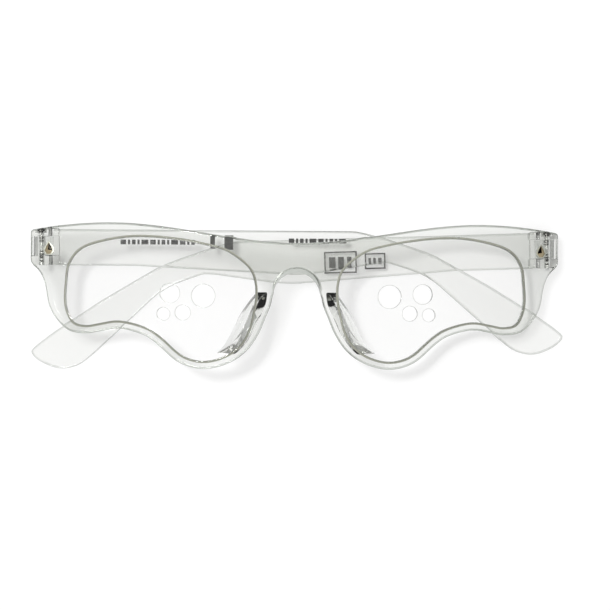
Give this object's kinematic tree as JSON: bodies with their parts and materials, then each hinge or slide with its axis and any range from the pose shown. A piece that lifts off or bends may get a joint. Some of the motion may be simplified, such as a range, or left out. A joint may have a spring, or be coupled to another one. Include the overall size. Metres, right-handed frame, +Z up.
{
  "type": "eye drop guide glasses",
  "caption": "Folding clear glasses whose lenses carry round guide holes that hold an eye dropper over the eye.",
  "frame": {"origin": "middle of the bounding box on the surface that the folded glasses lie on", "axes": "+X along the front, towards the end whose temple lies outermost; +Y towards the brow; +Z up, out of the front face"},
  "size_m": [0.147, 0.04, 0.0224],
  "materials": {
    "clear_frame": "clear polished moulding",
    "clear_lens": "clear flat-polished plate",
    "clear_temple": "clear polished moulding",
    "screw_steel": "dark plated screw",
    "stud_metal": "polished pale gold"
  },
  "bodies": {
    "front": {"front_frame": "clear_frame", "lens_left": "clear_lens", "lens_right": "clear_lens", "hinge_screw_left": "screw_steel", "hinge_screw_right": "screw_steel", "drop_stud_left": "stud_metal", "drop_stud_right": "stud_metal"},
    "temple_left": {"temple_left": "clear_temple"},
    "temple_right": {"temple_right": "clear_temple"}
  },
  "joints": [
    {"name": "left_hinge", "type": "hinge", "parent": "front", "child": "temple_left", "pos_m": [-0.06919, 0.0134, 0.00908], "axis": [-0.0174, 0.9998, 0.0007], "range_deg": [0, 90]},
    {"name": "right_hinge", "type": "hinge", "parent": "front", "child": "temple_right", "pos_m": [0.06829, 0.0134, 0.0032], "axis": [0.0174, -0.9998, -0.0007], "range_deg": [0, 86]}
  ]
}
